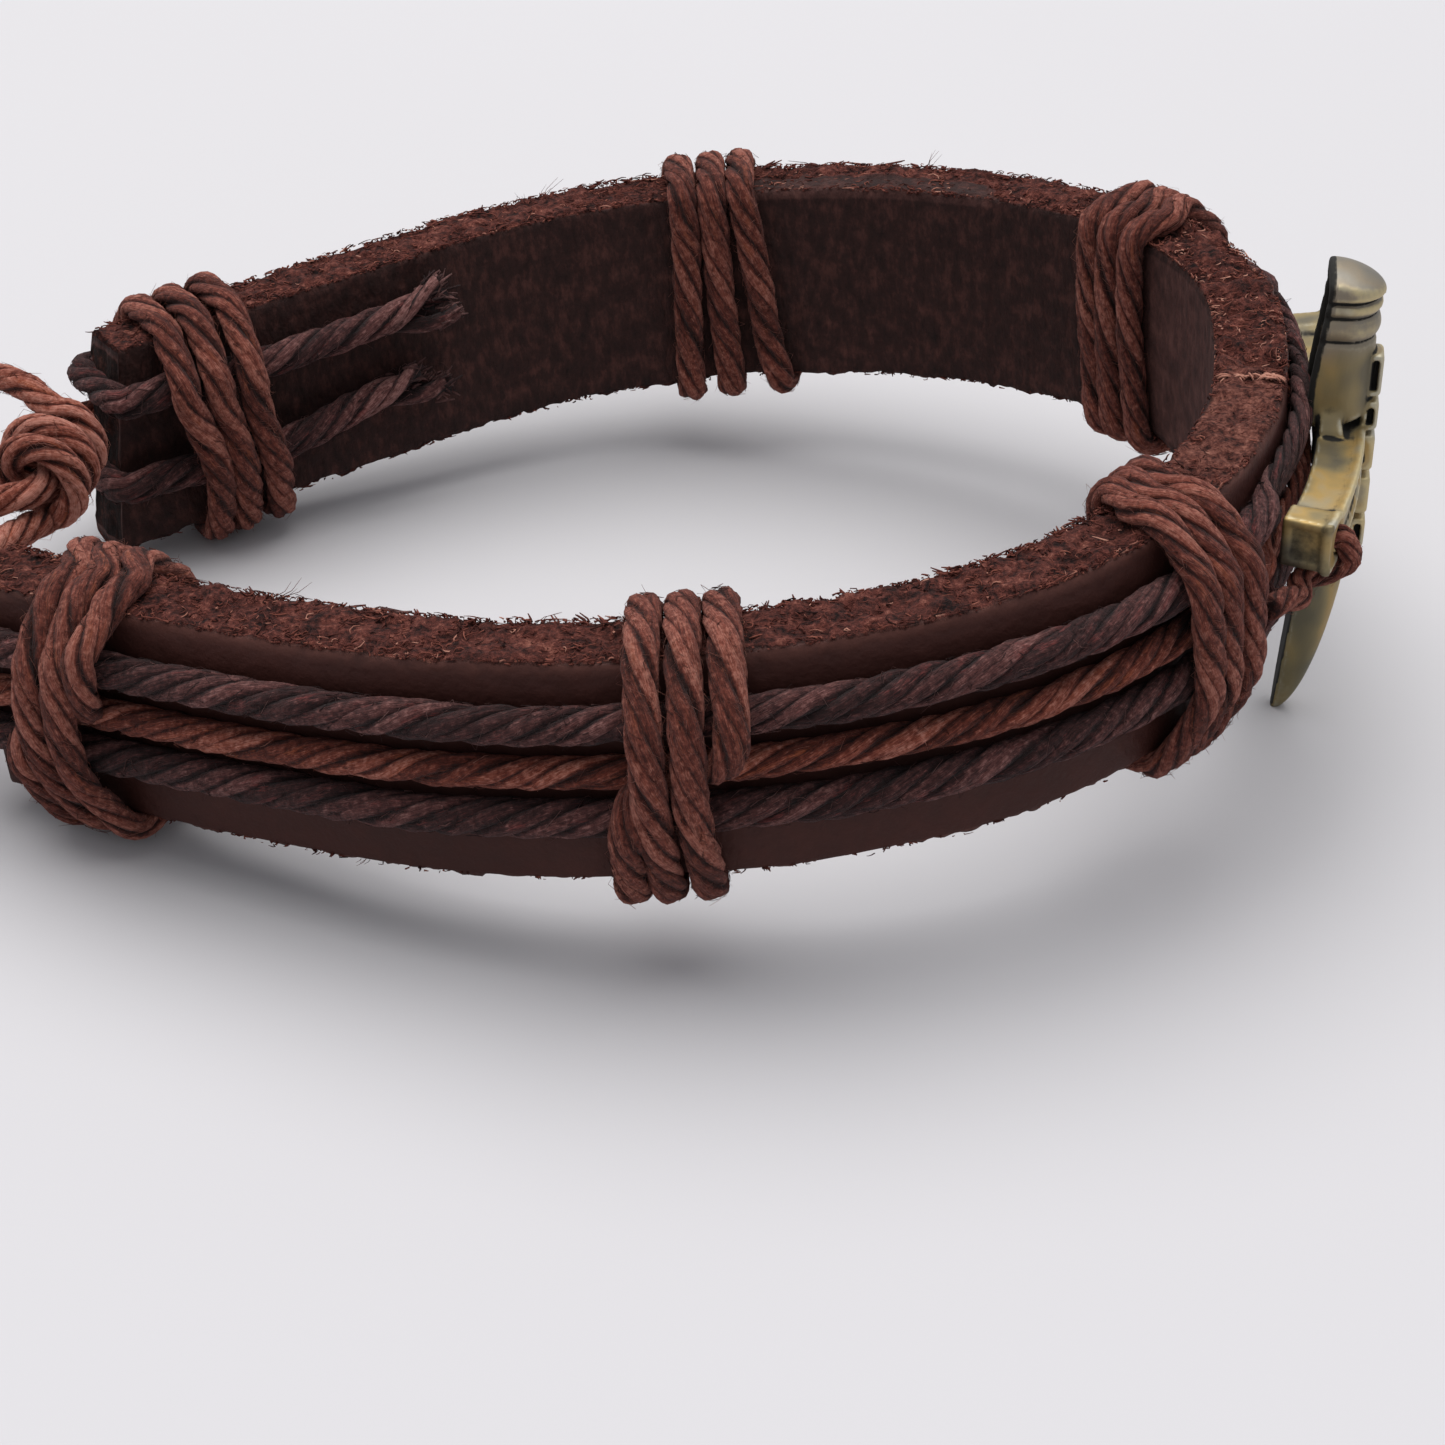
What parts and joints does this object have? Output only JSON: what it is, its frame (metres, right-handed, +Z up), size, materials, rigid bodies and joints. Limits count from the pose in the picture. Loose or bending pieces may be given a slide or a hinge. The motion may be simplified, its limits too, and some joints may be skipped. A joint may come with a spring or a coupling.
{
  "type": "leather bracelet",
  "caption": "Open band of thick leather with cords along its outside, wound cord bindings, a sliding-knot cord closure and a hollow-backed cast cross charm tied to its side.",
  "frame": {"origin": "middle of the bounding box in X and Y, at the height of the surface the bracelet stands on", "axes": "+X along the oval's length, from the closure towards the charm; +Y across the oval, from the front side of the ring to its back; +Z up, close to the ring's own axis, which leans 6.6 degrees because the ring rests on the charm's tip"},
  "size_m": [0.0834, 0.0614, 0.0258],
  "materials": {
    "leather": "smooth dark brown outer face, matt inner face, raw fibrous reddish-brown cut edges",
    "mauve_cord": "waxed twisted cord, mauve brown, matt",
    "waxed_cord": "waxed twisted cord, orange brown, slight sheen, paler and fuzzier at the knots",
    "antique_bronze": "antique bronze plate, bright on the raised edges and dark in the recesses"
  },
  "bodies": {
    "root": {"strap": "leather", "cord_upper": "mauve_cord", "cord_middle": "waxed_cord", "cord_lower": "mauve_cord", "binding_front_left": "waxed_cord", "binding_front_middle": "waxed_cord", "binding_front_right": "waxed_cord", "binding_back_right": "waxed_cord", "binding_back_middle": "waxed_cord", "binding_back_left": "waxed_cord", "charm": "antique_bronze", "charm_tie_front": "waxed_cord", "charm_tie_back": "waxed_cord"}
  },
  "joints": []
}
